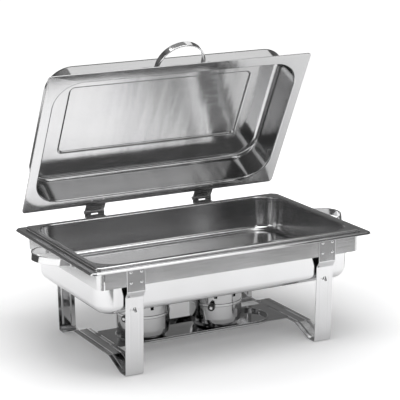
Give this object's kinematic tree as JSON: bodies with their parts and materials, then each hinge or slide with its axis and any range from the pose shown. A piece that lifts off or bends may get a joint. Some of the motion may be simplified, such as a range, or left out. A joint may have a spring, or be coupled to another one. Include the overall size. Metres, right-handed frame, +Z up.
{
  "type": "chafing dish",
  "caption": "Rectangular stainless chafing dish: open hinged lid over a food pan and water pan on a strap-leg stand, with fuel holders in a tray below.",
  "frame": {"origin": "the point on the table under the middle of the pans, midway between the four feet", "axes": "+X along the long side, towards the user's right; +Y towards the hinge side; +Z up"},
  "size_m": [0.631, 0.3845, 0.548],
  "materials": {
    "lid_steel": "mirror-polished stainless outside, fine satin inside",
    "band_steel": "mirror-polished stainless strip",
    "leg_steel": "polished stainless strap",
    "pan_steel": "bright drawn stainless",
    "food_pan_steel": "satin stainless with fine drawing marks",
    "grip_steel": "polished stainless strip",
    "hinge_steel": "darker rolled stainless",
    "pin_steel": "plain steel pin",
    "rivet_steel": "bright rivet heads",
    "tray_steel": "satin pressed stainless",
    "burner_steel": "polished stainless",
    "ring_steel": "satin stainless band",
    "screw_steel": "zinc-bright screw",
    "knob_plastic": "black heat-proof plastic"
  },
  "bodies": {
    "stand": {"frame_band": "band_steel", "leg_left": "leg_steel", "leg_right": "leg_steel", "leg_rivets": "rivet_steel", "side_handle_left": "grip_steel", "side_handle_right": "grip_steel", "side_handle_rivets": "rivet_steel"},
    "water_pan": {"water_pan": "pan_steel", "hinge_pan_leaf_left": "hinge_steel", "hinge_pan_leaf_right": "hinge_steel", "hinge_pin_left": "pin_steel", "hinge_pin_right": "pin_steel", "hinge_pan_rivets": "rivet_steel"},
    "food_pan": {"food_pan": "food_pan_steel"},
    "lid": {"lid_shell": "lid_steel", "lid_handle": "grip_steel", "lid_handle_screws": "screw_steel", "lid_handle_nuts": "screw_steel", "hinge_lid_leaf_left": "hinge_steel", "hinge_lid_leaf_right": "hinge_steel", "hinge_lid_rivets": "rivet_steel"},
    "burner_tray": {"burner_tray": "tray_steel"},
    "burner_left": {"burner_cup_left": "burner_steel"},
    "cover_left": {"burner_cover_left": "burner_steel"},
    "ring_left": {"control_ring_left": "ring_steel", "ring_knob_left": "knob_plastic", "knob_screw_left": "screw_steel"},
    "burner_right": {"burner_cup_right": "burner_steel"},
    "cover_right": {"burner_cover_right": "burner_steel"},
    "ring_right": {"control_ring_right": "ring_steel", "ring_knob_right": "knob_plastic", "knob_screw_right": "screw_steel"}
  },
  "joints": [
    {"name": "lid_hinge", "type": "hinge", "parent": "water_pan", "child": "lid", "pos_m": [0, 0.1833, 0.2118], "axis": [1, 0, 0], "range_deg": [-33.6, 61.4]},
    {"name": "water_pan_lift", "type": "slide", "parent": "stand", "child": "water_pan", "axis": [0, 0, 1], "range_m": [0, 0.12]},
    {"name": "food_pan_lift", "type": "slide", "parent": "water_pan", "child": "food_pan", "axis": [0, 0, -1], "range_m": [-0.02, 0]},
    {"name": "burner_tray_lift", "type": "slide", "parent": "stand", "child": "burner_tray", "axis": [0, 0, 1], "range_m": [0, 0.01]},
    {"name": "burner_left_lift", "type": "slide", "parent": "burner_tray", "child": "burner_left", "axis": [0, 0, 1], "range_m": [0, 0.01]},
    {"name": "cover_left_lift", "type": "slide", "parent": "burner_left", "child": "cover_left", "axis": [0, 0, 1], "range_m": [0, 0.01]},
    {"name": "control_ring_left_turn", "type": "hinge", "parent": "burner_left", "child": "ring_left", "pos_m": [-0.103, 0, 0.065], "axis": [0, 0, 1], "range_deg": [-20, 40]},
    {"name": "burner_right_lift", "type": "slide", "parent": "burner_tray", "child": "burner_right", "axis": [0, 0, 1], "range_m": [0, 0.01]},
    {"name": "cover_right_lift", "type": "slide", "parent": "burner_right", "child": "cover_right", "axis": [0, 0, 1], "range_m": [0, 0.01]},
    {"name": "control_ring_right_turn", "type": "hinge", "parent": "burner_right", "child": "ring_right", "pos_m": [0.047, 0, 0.065], "axis": [0, 0, 1], "range_deg": [-20, 40]}
  ]
}
